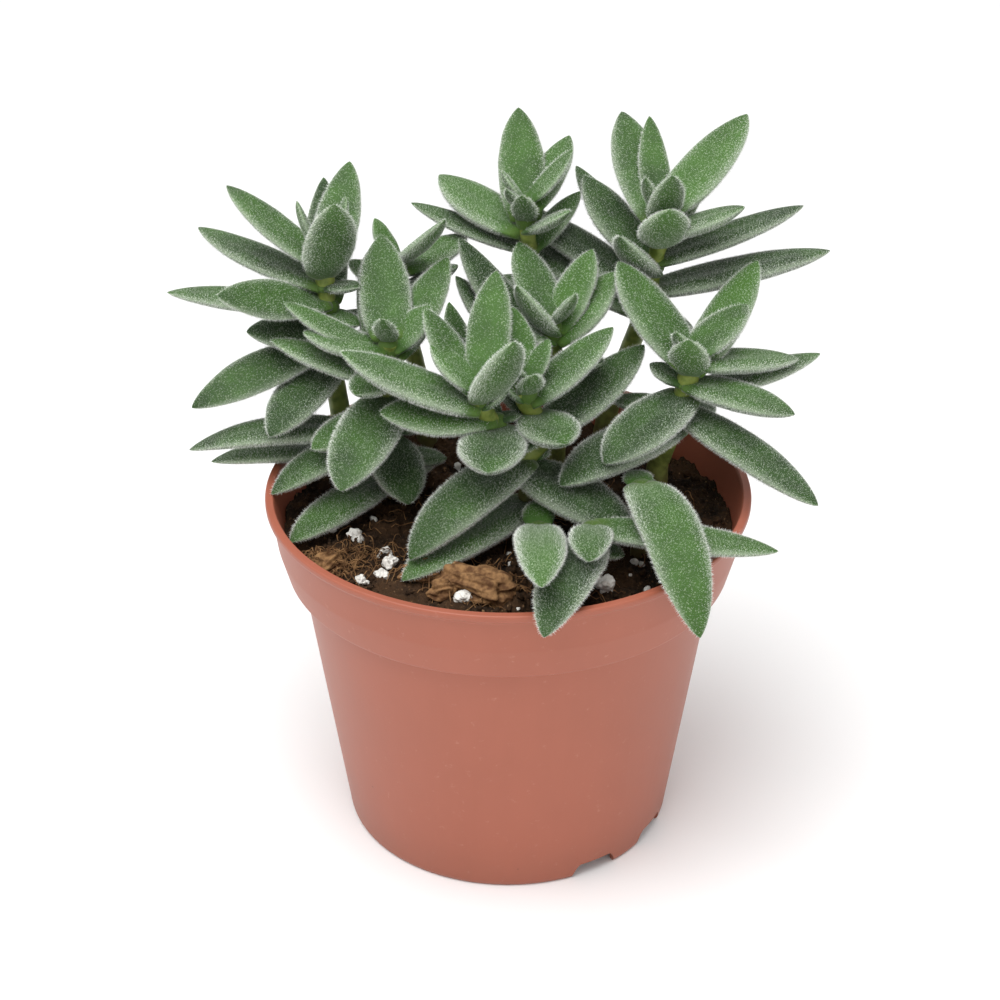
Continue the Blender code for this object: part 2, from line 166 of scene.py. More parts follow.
for k in range(drain_count):
    bm = bmesh.new()
    bmesh.ops.create_cone(bm, cap_ends=True, segments=32, depth=6 * MM,
                          radius1=drain_radius * MM, radius2=drain_radius * MM)
    turn = math.tau * k / drain_count
    place = Vector((math.cos(turn) * drain_ring, math.sin(turn) * drain_ring, floor_under))
    bmesh.ops.translate(bm, vec=place * MM, verts=bm.verts)
    cut = pot.modifiers.new("Drain", "BOOLEAN")
    cut.operation = "DIFFERENCE"
    cut.object = working("drain hole", to_mesh(bm, "drain hole"))
cutters = [mod.object for mod in pot.modifiers]
mesh = as_mesh(pot)
for cutter in cutters:
    bpy.data.objects.remove(cutter, do_unlink=True)
mesh.transform(Matrix.Translation(POT_AXIS))
mesh.set_sharp_from_angle(angle=math.radians(35))


class Value:
    """A shader socket that can be used in arithmetic like a number."""

    def __init__(self, look, socket):
        self.look, self.socket = look, socket

    def math(self, operation, *others):
        return self.look.node("ShaderNodeMath", {"operation": operation}, self, *others)

    def __add__(self, other):
        return self.math("ADD", other)

    def __sub__(self, other):
        return self.math("SUBTRACT", other)

    def __mul__(self, other):
        return self.math("MULTIPLY", other)

    def __pow__(self, other):
        return self.math("POWER", other)

    def __rsub__(self, other):
        return self.look.node("ShaderNodeMath", {"operation": "SUBTRACT"}, other, self)

    __radd__ = __add__
    __rmul__ = __mul__

    def between(self, low, high):
        """0 below low, 1 above high, and a smooth ramp between them."""
        return self.look.node("ShaderNodeMapRange", {"interpolation_type": "SMOOTHSTEP"},
                              self, low, high, 0.0, 1.0)

    def blend(self, first, second):
        """A colour from first, at 0, to second, at 1."""
        return self.look.node("ShaderNodeMix", {"data_type": "RGBA"}, out=2,
                              Factor=self, A_Color=first, B_Color=second)


class Look:
    """A procedural material whose Principled shader is filled in socket by socket."""

    def __init__(self, name, **constants):
        self.material = bpy.data.materials.new(name)
        self.material.use_nodes = True
        self.tree = self.material.node_tree
        self.shader = self.tree.nodes["Principled BSDF"]
        for key, value in constants.items():
            self.shader.inputs[key.replace("_", " ")].default_value = value

    def node(self, kind, settings=None, *values, out=0, **named):
        node = self.tree.nodes.new(kind)
        for key, value in (settings or {}).items():
            setattr(node, key, value)
        for socket, value in zip(node.inputs, values):
            self.plug(socket, value)
        for key, value in named.items():
            self.plug(next(s for s in node.inputs if s.identifier == key or s.name == key), value)
        return Value(self, node.outputs[out])

    def plug(self, socket, value):
        if isinstance(value, Value):
            self.tree.links.new(value.socket, socket)
        elif isinstance(value, tuple) and len(value) == 3 and socket.type == "RGBA":
            socket.default_value = (*value, 1.0)
        else:
            socket.default_value = value

    def set(self, socket, value):
        self.plug(self.shader.inputs[socket], value)

    def place(self):
        return self.node("ShaderNodeTexCoord", out=3)

    def attribute(self, name):
        return self.node("ShaderNodeAttribute", {"attribute_name": name}, out=2)

    def noise(self, scale, detail=3.0, rough=0.5, where=None):
        return self.node("ShaderNodeTexNoise", Vector=where or self.place(), Scale=scale,
                         Detail=detail, Roughness=rough)

    def cells(self, scale, where=None):
        return self.node("ShaderNodeTexVoronoi", Vector=where or self.place(), Scale=scale)

    def bump(self, height, strength, distance):
        self.set("Normal", self.node("ShaderNodeBump", Height=height, Strength=strength,
                                     Distance=distance))


plastic = Look("terracotta plastic", Roughness=0.42, Specular_IOR_Level=0.42)
where = plastic.place()
wide = plastic.noise(38, 4, 0.55, where)
flow = plastic.node("ShaderNodeMapping", None, where, Scale=(1.0, 1.0, 0.12))
streak = plastic.noise(210, 4, 0.6, flow)
grain = plastic.noise(2600, 2, 0.5, where)
tone = (0.35 + wide * 0.5 + streak * 0.25 - 0.1).between(0.2, 0.8)
colour = tone.blend((0.285, 0.080, 0.043), (0.350, 0.103, 0.060))
dust = plastic.noise(520, 6, 0.7, where).between(0.60, 0.78)
colour = (dust * 0.30).blend(colour, (0.62, 0.36, 0.28))
speck = 1.0 - plastic.cells(300, where).between(0.03, 0.09)
chosen = plastic.noise(90, 1, 0.5, where).between(0.60, 0.66)
colour = (speck * chosen * 0.75).blend(colour, (0.16, 0.05, 0.03))
high = plastic.node("ShaderNodeSeparateXYZ", None, where, out=2)
# the pot turns darker and patchy towards its bottom, below about 12 mm
darker_bottom = (1.0 - high.between(0.0, 0.012)) * plastic.noise(260, 4, 0.6, where)
colour = (darker_bottom * 0.45).blend(colour, (0.24, 0.085, 0.05))
plastic.set("Base Color", colour)
plastic.set("Roughness", 0.36 + wide * 0.10 + dust * 0.15 + streak * 0.06)
plastic.bump(grain * 0.3 + streak * 0.5 + plastic.noise(60, 2, 0.5, where) * 1.5, 0.25, 0.00012)


def add_piece(name, mesh, look, slot, *nodes):
    """A finished piece at the origin, riding with the plant and standing for CAD nodes."""
    piece = bpy.data.objects.new(name, mesh)
    scene.collection.objects.link(piece)
    mesh.materials.clear()
    mesh.materials.append(look.material)
    mesh.shade_smooth()
    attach(piece, "root")
    if nodes:
        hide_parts(*nodes)


add_piece("nursery_pot", mesh, plastic, "pot", "pot")

# ---- soil --------------------------------------------------------------------
# Peat potting mix filled to about 7 mm under the lip, crumbly on top, with the
# shoots rooted in it. The surface is one dense sheet; loose crumbs lie on it.
random.seed(11)
SOIL_TOP = 61.6


def soil_height(x, y):
    """Height of the soil at a point measured from the pot's axis, in millimetres."""
    lump = (0.5 * math.sin(x * 0.31 + 1.1) * math.cos(y * 0.27)
            + 0.35 * math.sin(x * 0.53 - y * 0.47) + 0.2 * math.cos(y * 0.9 + x * 0.2))
    here = Vector((x, y, 3.0))
    rough = (noise.noise(here * 0.35) * 1.1 + noise.noise(here * 0.9) * 0.8
             + noise.noise(here * 2.1) * 0.5 + noise.noise(here * 4.3) * 0.28)
    return SOIL_TOP + lump + rough + 0.3


bm = bmesh.new()
rows, sides, edge = 96, 300, 41.6
rings = []
for j in range(1, rows + 1):
    r = edge * (j / rows) ** 0.85
    ring = []
    for i in range(sides):
        x, y = r * math.cos(math.tau * i / sides), r * math.sin(math.tau * i / sides)
        ring.append(bm.verts.new((x * MM, y * MM, soil_height(x, y) * MM)))
    rings.append(ring)
centre = bm.verts.new((0, 0, soil_height(0, 0) * MM))
# below the surface the body narrows with the collar's step and again to the pot's floor
step = [bm.verts.new((v.co.x * 0.93, v.co.y * 0.93, 55.5 * MM)) for v in rings[-1]]
bottom = [bm.verts.new((v.co.x * 0.70, v.co.y * 0.70, 5.2 * MM)) for v in rings[-1]]
rings += [step, bottom]
for a, b in zip(rings, rings[1:]):
    for i in range(sides):
        bm.faces.new((a[i], b[i], b[(i + 1) % sides], a[(i + 1) % sides]))
for i in range(sides):
    bm.faces.new((centre, rings[0][i], rings[0][(i + 1) % sides]))
bm.faces.new(rings[-1])
bmesh.ops.recalc_face_normals(bm, faces=bm.faces)
mesh = to_mesh(bm, "soil", POT_AXIS)

peat = Look("peat potting soil", Roughness=0.95, Specular_IOR_Level=0.2)
where = peat.place()
damp = peat.noise(130, 5, 0.6, where).between(0.35, 0.65)
crumb = peat.cells(900, where)
fleck = peat.noise(1500, 4, 0.7, where)
colour = damp.blend((0.013, 0.008, 0.005), (0.058, 0.030, 0.014))
colour = fleck.between(0.55, 0.72).blend(colour, (0.13, 0.070, 0.032))
colour = peat.noise(700, 3, 0.6, where).between(0.66, 0.74).blend(colour, (0.26, 0.155, 0.08))
peat.set("Base Color", colour)
peat.bump(crumb + fleck * 0.8, 0.9, 0.0006)
add_piece("potting_soil", mesh, peat, "soil", "soil")

# Crumbs and short bark pieces scattered over the surface, a few dozen faces each.
kinds, crumb_count, soil_edge = 6, 2600, 40.6
shapes = []
for k in range(kinds):
    bm = bmesh.new()
    bmesh.ops.create_icosphere(bm, subdivisions=1, radius=0.5)
    for vert in bm.verts:
        vert.co *= 1 + 0.7 * noise.noise(vert.co * 2.2 + Vector((k * 7.0, 0, 0)))
        vert.co.z *= 0.7
    shapes.append(bm)
bm = bmesh.new()
for k in range(crumb_count):
    shape = shapes[k % kinds]
    r, turn = 41.0 * math.sqrt(random.random()), random.random() * math.tau
    size = 0.35 + 1.5 * random.random() ** 3.5
    x, y = r * math.cos(turn), r * math.sin(turn)
    x, y = (x, y) if r < soil_edge - size * 0.5 else (x * 0.95, y * 0.95)
    at = Matrix.Translation(Vector((x, y, soil_height(x, y) + size * 0.12)))
    at = at @ Matrix.Rotation(random.random() * 6, 4, Vector((random.random(), 1, 0.5)))
    at = at @ Matrix.Diagonal((size * random.uniform(0.7, 1.6), size, size, 1))
    new = [bm.verts.new(at @ v.co * MM) for v in shape.verts]
    for face in shape.faces:
        bm.faces.new([new[v.index] for v in face.verts])
mesh = to_mesh(bm, "crumbs", POT_AXIS)
add_piece("soil_crumbs", mesh, peat, "soil")

# Perlite: puffed white volcanic grains in the mix, with a few on top of it.
perlite = Look("perlite", Roughness=0.9, Specular_IOR_Level=0.3)
where = perlite.place()
pits = perlite.cells(1500, where)
stain = perlite.noise(500, 4, 0.6, where).between(0.5, 0.75)
perlite.set("Base Color", (stain * 0.55).blend((0.80, 0.78, 0.73), (0.33, 0.25, 0.17)))
perlite.bump(pits + perlite.noise(2500, 2, 0.5, where) * 0.5, 0.8, 0.0004)
bm = bmesh.new()
# east, north, width, depth and height of each grain, in millimetres from the axis
grains = [(-28, -8.3, 2.8, 2.8, 2.6), (-22.5, -12.8, 2.4, 2.4, 3.0), (-21.4, -16.8, 2.4, 2.6, 2.6),
          (-23, -19.8, 2.6, 2.2, 2.2), (-26.4, -21.4, 2.4, 2.2, 2.0), (-8, -27.8, 2.6, 2.4, 2.2),
          (17, -25.5, 2.8, 2.8, 4.0), (16, -23, 2, 2, 3), (-23, -27.8, 0.9, 0.9, 0.9),
          (-32.4, -4, 1.4, 1.4, 1.2), (-35.6, -15.6, 1.2, 1.2, 1.0)]
for _ in range(26):
    r, turn = 39 * math.sqrt(random.random()), random.random() * math.tau
    grains.append((r * math.cos(turn), r * math.sin(turn), *[random.uniform(0.5, 1.7)] * 3))
for k, (x, y, wide, deep, tall) in enumerate(grains):
    made = bmesh.ops.create_icosphere(bm, subdivisions=4 if wide > 1.7 else 2, radius=0.5)["verts"]
    for vert in made:
        here = vert.co.copy()
        lumps = noise.noise(here * 2.4 + Vector((k * 5.1, 0, 0))) * 0.55
        lumps += noise.noise(here * 6.0 + Vector((0, k * 3.3, 0))) * 0.25
        here *= 1 + lumps
        vert.co = Vector((x + here.x * wide, y + here.y * deep,
                          soil_height(x, y) + tall * 0.25 + here.z * tall)) * MM
mesh = to_mesh(bm, "perlite", POT_AXIS)
add_piece("perlite_grains", mesh, perlite, "soil")

# Coir: tufts of coconut fibre and husk lumps mixed into the peat at the front.
coir = Look("coir fibre", Roughness=0.85, Specular_IOR_Level=0.25)
where = coir.place()
strand = coir.noise(600, 4, 0.6, where).between(0.35, 0.65)
coir.set("Base Color", strand.blend((0.10, 0.045, 0.018), (0.30, 0.165, 0.07)))
coir.bump(coir.noise(3000, 3, 0.6, where), 0.6, 0.0002)
bm = bmesh.new()
# east, north, length, width, height and heading of each husk lump
husks = [(-5, -25, 14, 8, 6, -25), (-11.7, -26.2, 5, 4, 4, 20), (-33, -16.5, 8, 5, 4, 60),
         (-15, -21, 8, 5, 4, 10)]
for k, (x, y, long, wide, tall, heading) in enumerate(husks):
    made = bmesh.ops.create_icosphere(bm, subdivisions=5, radius=0.5)["verts"]
    spin = Matrix.Rotation(math.radians(heading), 3, "Z")
    for vert in made:
        here = vert.co.copy()
        groove = noise.noise(Vector((here.x * 1.2, here.y * 7, here.z * 7 + k * 9)))
        lump = noise.noise(here * 2.5 + Vector((k * 4.0, 1, 0)))
        here *= 1 + groove * 0.32 + lump * 0.35
        here = spin @ Vector((here.x * long, here.y * wide, here.z * tall))
        vert.co = (here + Vector((x, y, soil_height(x, y) + tall * 0.22))) * MM
mesh = to_mesh(bm, "husks", POT_AXIS)
add_piece("coir_husks", mesh, coir, "soil")

fibre_radius, farthest = 0.11, 40.5
curve = bpy.data.curves.new("fibres", "CURVE")
curve.dimensions = "3D"
curve.bevel_depth = fibre_radius * MM
curve.bevel_resolution = 0
curve.use_fill_caps = True
# east, north, spread and number of fibres of each tuft
tufts = [(-33, -16.5, 4, 90), (-12, -20, 6, 70), (-3, -25, 5, 60), (-26, -14, 6, 40),
         (10, -26, 8, 25), (0, 0, 26, 120)]
for x0, y0, spread, count in tufts:
    for _ in range(count):
        x, y = random.gauss(x0, spread * 0.5), random.gauss(y0, spread * 0.4)
        turn, bend = random.random() * math.tau, random.uniform(-0.35, 0.35)
        lift, steps = random.uniform(0.3, 2.2), 9
        spline = curve.splines.new("POLY")
        spline.points.add(steps)
        reach = random.uniform(0.35, 0.8)
        for k, point in enumerate(spline.points):
            x += math.cos(turn) * reach
            y += math.sin(turn) * reach
            turn += bend + random.uniform(-0.25, 0.25)
            far = math.hypot(x, y)
            if far > farthest:
                x, y = x * farthest / far, y * farthest / far
            z = soil_height(x, y) + 0.2 + lift * math.sin(math.pi * k / steps)
            point.co = (x * MM, y * MM, z * MM, 1)
            point.radius = random.uniform(0.5, 1.0)
mesh = as_mesh(working("fibres", curve))
mesh.transform(Matrix.Translation(POT_AXIS))
add_piece("coir_fibres", mesh, coir, "soil")

# ---- shoots ------------------------------------------------------------------
# Each shoot is a smooth green stem with pairs of fleshy leaves that cross from
# node to node and crowd at its tip. The leaves of a pair join round the stem.
# A leaf is (heading, rise at its base, rise at its tip, length, width, roll):
# degrees, heading 0 = +X and 270 = the front, rise above the horizon, mm.
# A node is (height on the stem, leaves), two leaves to a pair.
SHOOTS = {
    "left": {
        "stem": ((-30, 15.5, 52), (-31, 16, 70), (-33, 17, 86), (-34, 19, 105)),
        "radius": (2.4, 1.4),
        "nodes": (
            (86.0, ((240, -5, -25, 22, 10.5), (70, 5, -5, 11, 6))),
            (89.8, ((207, -5, -22, 29, 9, 25), (20, 5, -5, 12, 6))),
            (92.8, ((200, 3, 12, 16, 8.5, 20), (45, 5, 0, 10, 6))),
            (96.2, ((165, 5, -5, 32, 8.5), (320, 0, -5, 8, 5), (205, 15, 15, 22, 9, 35),
                   (94, 8, 56, 29, 8))),
            (101.2, ((145, 5, 10, 31, 8.5), (330, 15, 10, 8, 5))),
            (103.7, ((292, 60, 75, 18, 10), (80, 25, 35, 26, 8.5), (150, 25, 30, 24, 8),
                   (330, 45, 60, 9, 5), (190, 60, 75, 12, 5), (15, 60, 75, 12, 5))),
        ),
    },
    "back_left": {
        "stem": ((-15, 31, 52), (-17, 30, 75), (-20, 28, 92), (-21, 27, 102)),
        "radius": (2.2, 1.4),
        "nodes": (
            (96.5, ((150, 15, 15, 12, 7), (340, 26, 32, 13.5, 7.5))),
            (100.5, ((40, 5, 12, 17, 9), (230, 40, 50, 6, 4), (325, 40, 50, 16, 7),
                   (145, 50, 60, 9, 5))),
        ),
    },
    "centre_left": {
        "stem": ((-22.5, 11, 52), (-22.5, 10, 72), (-22, 6, 86), (-21.5, 3, 97)),
        "radius": (2.4, 1.4),
        "nodes": (
            (65.2, ((232, 5, -10, 28, 9.5), (40, 0, -5, 11, 6))),
            (69.9, ((180, 14, -18, 34, 9), (0, 0, -5, 11, 7))),
            (73.8, ((188, 22, -20, 38, 9.5), (285, -5, -30, 17, 10), (212, 2, -30, 26, 9.5),
                   (35, 0, -5, 11, 6))),
            (80.2, ((215, 0, -14, 17, 10.5), (30, 5, 0, 9, 6))),
            (84.8, ((252, -5, -25, 26, 12), (60, 0, -5, 11, 6))),
            (88.6, ((168, 15, 15, 23, 8), (330, 0, 0, 11, 6), (240, 0, 0, 11, 8.5),
                   (101, 25, 34, 27, 7.5))),
            (93.6, ((162, 20, 25, 22, 6.5), (60, 25, 35, 24, 8.5), (172, 5, 12, 16, 8.5),
                   (35, 30, 40, 11, 8), (95, 20, 30, 25, 9.5), (260, 50, 60, 8, 4.5))),
        ),
    },
    "front": {
        "stem": ((4.5, 0, 52), (4, 0, 70), (1, -3, 79), (-3, -6.5, 86), (-6, -9, 93)),
        "radius": (2.5, 1.4),
        "nodes": (
            (66.0, ((227, 5, -12, 34, 11), (40, 0, -5, 13, 8))),
            (73.9, ((321, -1, -24, 26, 13), (150, 0, -5, 14, 8), (226, 0, -34, 31, 12),
                    (50, 0, -5, 7, 5.5))),
            (84.6, ((265, 4, -2, 17, 12), (123, 30, 71, 25, 7), (184, 8, 3, 21, 10.5, 15),
                    (10, 5, 5, 4.5, 4))),
            (90.0, ((172, 15, 25, 27, 11), (350, 40, 50, 7, 5), (305, 50, 65, 18, 9.5),
                   (140, 40, 50, 19, 7.5), (80, 42, 52, 22, 8), (160, 30, 40, 12, 8))),
        ),
        "forks": ({
            "stem": ((2.2, -1.9, 75.6), (6.4, -1, 79.5), (4.5, -3, 86), (2, -4.5, 91.5)),
            "radius": (2.0, 1.4),
            "nodes": (
                (81.5, ((35, 20, 30, 26, 11), (215, -20, -30, 6, 5))),
                (85.6, ((295, 5, 0, 13, 11), (130, 18, 25, 11, 6))),
                (88.9, ((30, 25, 35, 21, 9), (190, 40, 50, 6, 4.5), (105, 45, 55, 16, 7),
                       (285, 45, 55, 8, 5), (50, 40, 50, 9, 4.5), (215, 55, 65, 6, 4))),
            ),
        },),
    },
    "centre": {
        "stem": ((9, 13, 52), (9, 13, 75), (8.5, 12, 88), (8, 11, 97)),
        "radius": (2.2, 1.4),
        "nodes": (
            (84.0, ((150, 32, 46, 27.5, 9), (300, -5, -10, 6, 5))),
            (90.0, ((140, 25, 50, 29, 9), (320, 15, 10, 12, 7))),
            (93.5, ((30, 33, 43, 17.5, 10), (200, 25, 30, 12, 7), (50, 43, 53, 17, 8),
                   (215, 50, 60, 14, 7.5), (110, 20, 30, 20, 8), (320, 50, 60, 9, 5))),
        ),
    },
    "back": {
        "stem": ((9, 32.5, 52), (9, 34, 75), (5, 32, 95), (3, 30, 110)),
        "radius": (2.3, 1.4),
        "nodes": (
            (96.0, ((345, 0, 0, 5, 4.5), (215, 12, 9, 13, 7))),
            (102.8, ((152, 10, 10, 26, 6.5), (45, 28, 30, 16, 6))),
            (107.2, ((135, 5, 15, 24, 11), (330, 30, 35, 11, 6), (95, 40, 50, 23, 9),
                   (260, 50, 60, 9, 5), (60, 25, 35, 19, 7.5), (225, 45, 55, 8, 4.5),
                   (20, 40, 50, 13, 5.5), (190, 50, 60, 8, 4.5))),
        ),
    },
    "right_back": {
        "stem": ((17, 29.5, 52), (20, 30, 72), (25, 26, 90), (28.5, 22.5, 111)),
        "radius": (2.4, 1.4),
        "nodes": (
            (92.5, ((147, 18, 15, 33, 10), (320, 0, -5, 12, 7))),
            (97.5, ((140, 15, 15, 33, 9.5), (5, 12, 10, 35, 10))),
            (101.8, ((222, 38, 58, 13, 9), (120, 18, 25, 30, 7), (132, 25, 37, 22, 10),
                    (18, 13, 14, 31, 8))),
            (108.2, ((278, 42, 58, 13.5, 9.5), (65, 15, 33, 25, 7), (345, 21, 26, 17, 8),
                    (95, 36, 46, 24, 6), (105, 21, 31, 28, 10), (290, 62, 75, 12, 7),
                    (48, 21, 30, 28, 10.5), (215, 60, 70, 9, 5))),
        ),
    },
    "right": {
        "stem": ((27, 7, 52), (28, 7, 70), (32, 5, 84), (33.5, 3, 94.5)),
        "radius": (2.5, 1.5),
        "nodes": (
            (78.8, ((220, 7, -18, 28, 12.5), (50, 0, -5, 13, 7))),
            (82.4, ((315, -5, -18, 34, 9.5), (165, 5, 0, 13, 7))),
            (85.6, ((228, -5, -20, 23, 12), (25, 5, 5, 29, 8))),
            (88.5, ((335, 0, -10, 21, 9.5), (150, 15, 15, 8, 6))),
            (91.0, ((55, 25, 35, 27, 9), (258, 55, 75, 9.5, 7.5), (135, 33, 43, 23.2, 11),
                   (20, -5, -10, 22, 8.5), (40, 17, 27, 15, 8.5), (225, 50, 60, 7, 5))),
        ),
    },
    "lower_right": {
        "stem": ((24, -11, 52), (24, -11.5, 62), (24, -12, 76.4)),
        "radius": (2.0, 1.5),
        "nodes": (
            (76.0, ((285, 18, -55, 38, 11), (100, 0, -10, 7, 5.5))),
        ),
    },
    "offset_left": {
        "stem": ((5.5, -13, 52), (5.5, -13.5, 62), (5.5, -14, 69)),
        "radius": (1.8, 1.4),
        "nodes": (
            (68.6, ((270, 26, 2, 35, 9), (90, 20, 10, 7, 6))),
        ),
    },
    "offset_right": {
        "stem": ((15, -20, 52), (15, -20.5, 62), (15, -21, 73.1)),
        "radius": (1.7, 1.3),
        "nodes": (
            (69.0, ((253, 20, -20, 32, 10), (345, -10, -15, 6, 5))),
            (72.8, ((349, 0, -4, 33, 9), (265, 25, -5, 17, 7.5))),
        ),
    },
}
WHORL_STEP = 1.9                     # height between the crossed pairs of one node
THICKNESS = 0.40                     # of a leaf, as a share of its width
SHEATH_WALL, SHEATH_HALF = 0.7, 1.0  # how far a sheath stands out, and half its height
BARE_BASE, HAIRY_SPAN = 1.6, 2.5     # bare foot of a leaf, and where its hair thickens


def stem_point(points, height):
    """The middle of a stem at a height, along its chain of straight parts."""
    for low, high in zip(points, points[1:]):
        if height <= high[2] or high is points[-1]:
            share = (height - low[2]) / (high[2] - low[2])
            return Vector(low).lerp(Vector(high), share)


def leaf_directions(heading, rise):
    """Along, up and across vectors of a leaf that lies without roll."""
    h, r = math.radians(heading), math.radians(rise)
    along = Vector((math.cos(r) * math.cos(h), math.cos(r) * math.sin(h), math.sin(r)))
    up = Vector((-math.sin(r) * math.cos(h), -math.sin(r) * math.sin(h), math.cos(r)))
    return along, up, up.cross(along)


def leaf_width(t):
    """Share of the full width at a place from 0, the base, to 1, the tip."""
    if t < 0.42:
        return 1.0 - 0.36 * ((0.42 - t) / 0.42) ** 2
    return max(0.0, 1.0 - ((t - 0.42) / 0.58) ** 2.3) ** 0.78


def leaf_depth(t):
    """Share of the full thickness at the same place."""
    if t < 0.40:
        return 1.0 - 0.38 * ((0.40 - t) / 0.40) ** 2
    return max(0.0, 1.0 - ((t - 0.40) / 0.60) ** 2.5) ** 0.72


def add_leaf(bm, layers, root, leaf, number, young):
    """One fleshy leaf: shallow channel above, rounded keel below, blunt margins."""
    heading, rise_base, rise_tip, length, width = leaf[:5]
    roll = math.radians(leaf[5]) if len(leaf) > 5 else 0.0
    thick = width * THICKNESS
    stations, around, steps = 34, 24, 24
    spine = [Vector(root)]
    for i in range(steps):
        rise = rise_base + (rise_tip - rise_base) * (i + 0.5) / steps
        spine.append(spine[-1] + leaf_directions(heading, rise)[0] * length / steps)
    own = (0.4 if young else -0.2) + random.uniform(-0.45, 0.45)
    rings = []
    for k in range(stations):
        t = 1 - (1 - k / stations) ** 1.35
        i = min(int(t * steps), steps - 1)
        centre = spine[i].lerp(spine[i + 1], t * steps - i)
        along, up, across = leaf_directions(heading, rise_base + (rise_tip - rise_base) * t)
        turn = roll * min(1.0, t * 2.0)
        side = across * math.cos(turn) - up * math.sin(turn)
        top = up * math.cos(turn) + across * math.sin(turn)
        wave = noise.noise(Vector((t * 2.2, number * 3.7, 0.5)))
        ring = []
        for m in range(around):
            angle = math.tau * m / around
            x = math.copysign(abs(math.cos(angle)) ** 0.92, math.cos(angle))
            if math.sin(angle) >= 0:
                y = 0.37 * (1 - abs(x) ** 2.8) ** 0.62 - 0.13 * math.exp(-(x / 0.34) ** 2) * (
                    1 - t ** 4)
            else:
                y = -0.62 * (1 - abs(x) ** 2.2) ** 0.72
            skin = 1 + 0.035 * noise.noise(Vector((x * 2, y * 2, t * 5 + number * 9)))
            point = centre + side * (x * leaf_width(t) * width / 2 * skin + wave * 0.25) \
                + top * (y * leaf_depth(t) * thick * skin)
            vert = bm.verts.new(point * MM)
            vert[layers["along"]] = t
            vert[layers["margin"]] = abs(x) ** 3
            vert[layers["under"]] = 0.0 if math.sin(angle) >= 0 else 1.0
            vert[layers["own"]] = own
            vert[layers["hairy"]] = min(1.0, max(0.0, (t * length - BARE_BASE) / HAIRY_SPAN))
            ring.append(vert)
        rings.append(ring)
    tip = bm.verts.new(spine[-1] * MM)
    tip[layers["along"]], tip[layers["margin"]], tip[layers["own"]] = 1.0, 1.0, own
    tip[layers["hairy"]] = 1.0
    bm.faces.new(rings[0][::-1])
    for a, b in zip(rings, rings[1:]):
        for m in range(around):
            n = (m + 1) % around
            bm.faces.new((a[m], a[n], b[n], b[m]))
    for m in range(around):
        bm.faces.new((rings[-1][m], rings[-1][(m + 1) % around], tip))


def leaf_mesh(shoot):
    """All the leaves of a shoot, and the sheath that joins each pair."""
    bm = bmesh.new()
    layers = {name: bm.verts.layers.float.new(name)
              for name in ("along", "margin", "under", "own", "hairy")}
    points, (base, top) = shoot["stem"], shoot["radius"]
    for height, leaves in shoot["nodes"]:
        root = stem_point(points, height)
        share = (height - points[0][2]) / (points[-1][2] - points[0][2])
        radius = base + (top - base) * share
        for i, leaf in enumerate(leaves):
            add_leaf(bm, layers, root + Vector((0, 0, WHORL_STEP * (i // 2))), leaf,
                     height + i * 1.3, height == shoot["nodes"][-1][0])
        rise = WHORL_STEP * (len(leaves) // 2 - 1)
        made = bmesh.ops.create_uvsphere(bm, u_segments=28, v_segments=14, radius=1.0)["verts"]
        for vert in made:
            vert.co = (root + Vector((0, 0, rise / 2)) + Vector((
                vert.co.x * (radius + SHEATH_WALL), vert.co.y * (radius + SHEATH_WALL),
                vert.co.z * (SHEATH_HALF + rise / 2)))) * MM
    bmesh.ops.recalc_face_normals(bm, faces=bm.faces)
    return to_mesh(bm, "leaves", POT_AXIS)


def inside_box(mesh):
    """Keeps hair ends inside the CAD model's box."""
    low, high = cad_box
    for vert in mesh.vertices:
        vert.co = [min(max(c, a), b) for c, a, b in zip(vert.co, low, high)]
    return mesh


# The skin: green flesh under a felt of hairs, yellower and bare at the base.
flesh = Look("hairy leaf", Roughness=0.62, Specular_IOR_Level=0.35, Sheen_Weight=0.22,
             Sheen_Roughness=0.45, Subsurface_Weight=0.12, Subsurface_Scale=0.0012,
             Subsurface_Radius=(0.5, 1.0, 0.25))
where = flesh.place()
along, margin = flesh.attribute("along"), flesh.attribute("margin")
under, own, hairy = flesh.attribute("under"), flesh.attribute("own"), flesh.attribute("hairy")
wide = flesh.noise(160, 4, 0.6, where)
dots = flesh.cells(2300, where)
fine = flesh.noise(2600, 3, 0.6, where)
colour = (wide * 0.8 + own * 0.32 + 0.1).between(0.1, 0.9).blend(
    (0.008, 0.030, 0.002), (0.050, 0.135, 0.014))
# painted shade: the undersides are blended 30% towards a darker, greyer green, as if shaded from the
# light above
colour = (under * 0.30).blend(colour, (0.030, 0.060, 0.016))
felt = (1.0 - dots.between(0.10, 0.45)) * fine.between(0.35, 0.6)
colour = (felt * (0.42 + 0.55 * margin + 0.2 * own) * hairy).blend(colour, (0.50, 0.60, 0.41))
colour = ((margin ** 3) * 0.42 * hairy).blend(colour, (0.56, 0.63, 0.50))
colour = ((1.0 - along.between(0.0, 0.13)) * 0.55).blend(colour, (0.09, 0.16, 0.02))
flesh.set("Base Color", colour)
flesh.bump(felt + fine * 0.4, 0.55, 0.00022)

# The hairs: short white spikes, hundreds to a leaf and thicker at the margins.
down = Look("white leaf hair", Roughness=0.55, Specular_IOR_Level=0.4)
shade = down.noise(900, 2, 0.5)
down.set("Base Color", shade.between(0.3, 0.7).blend((0.74, 0.78, 0.70), (0.92, 0.93, 0.90)))
